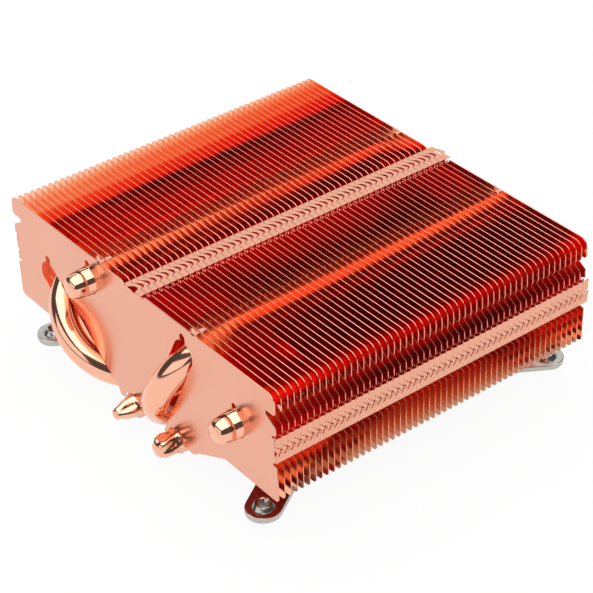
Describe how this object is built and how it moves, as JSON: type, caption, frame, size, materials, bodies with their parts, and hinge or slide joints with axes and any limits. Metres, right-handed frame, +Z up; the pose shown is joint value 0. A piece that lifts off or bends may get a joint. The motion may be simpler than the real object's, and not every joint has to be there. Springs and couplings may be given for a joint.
{
  "type": "passive heatsink for a server processor",
  "caption": "Low all-copper heatsink: a stack of thin zipper fins over U-bent heat pipes, a copper contact block, and a bow bracket with two round feet on each side.",
  "frame": {"origin": "middle of the flat contact face under the copper base, which sits on the processor", "axes": "+Z up, away from the processor, to the top edges of the fins; +X along a fin; +Y along the fin stack and the heat pipes' legs, from the front end to the back"},
  "size_m": [0.0944, 0.0936, 0.038],
  "materials": {
    "fin_copper": "satin bare copper sheet",
    "pipe_copper": "polished bare copper",
    "base_copper": "milled bare copper, lapped contact face",
    "nickel_steel": "nickel-plated steel"
  },
  "bodies": {
    "root": {"back_fin": "fin_copper", "base_block": "base_copper", "bracket_screws": "nickel_steel", "fin_pair_01": "fin_copper", "fin_pair_02": "fin_copper", "fin_pair_03": "fin_copper", "fin_pair_04": "fin_copper", "fin_pair_05": "fin_copper", "fin_pair_06": "fin_copper", "fin_pair_07": "fin_copper", "fin_pair_08": "fin_copper", "fin_pair_09": "fin_copper", "fin_pair_10": "fin_copper", "fin_pair_11": "fin_copper", "fin_pair_12": "fin_copper", "fin_pair_13": "fin_copper", "fin_pair_14": "fin_copper", "fin_pair_15": "fin_copper", "fin_pair_16": "fin_copper", "fin_pair_17": "fin_copper", "fin_pair_18": "fin_copper", "fin_pair_19": "fin_copper", "fin_pair_20": "fin_copper", "fin_pair_21": "fin_copper", "fin_pair_22": "fin_copper", "fin_pair_23": "fin_copper", "fin_pair_24": "fin_copper", "fin_pair_25": "fin_copper", "fin_pair_26": "fin_copper", "front_fin": "fin_copper", "heat_pipe_inner_left": "pipe_copper", "heat_pipe_inner_right": "pipe_copper", "heat_pipe_outer_left": "pipe_copper", "heat_pipe_outer_right": "pipe_copper", "left_bracket": "nickel_steel", "mounting_nuts": "nickel_steel", "right_bracket": "nickel_steel"}
  },
  "joints": []
}
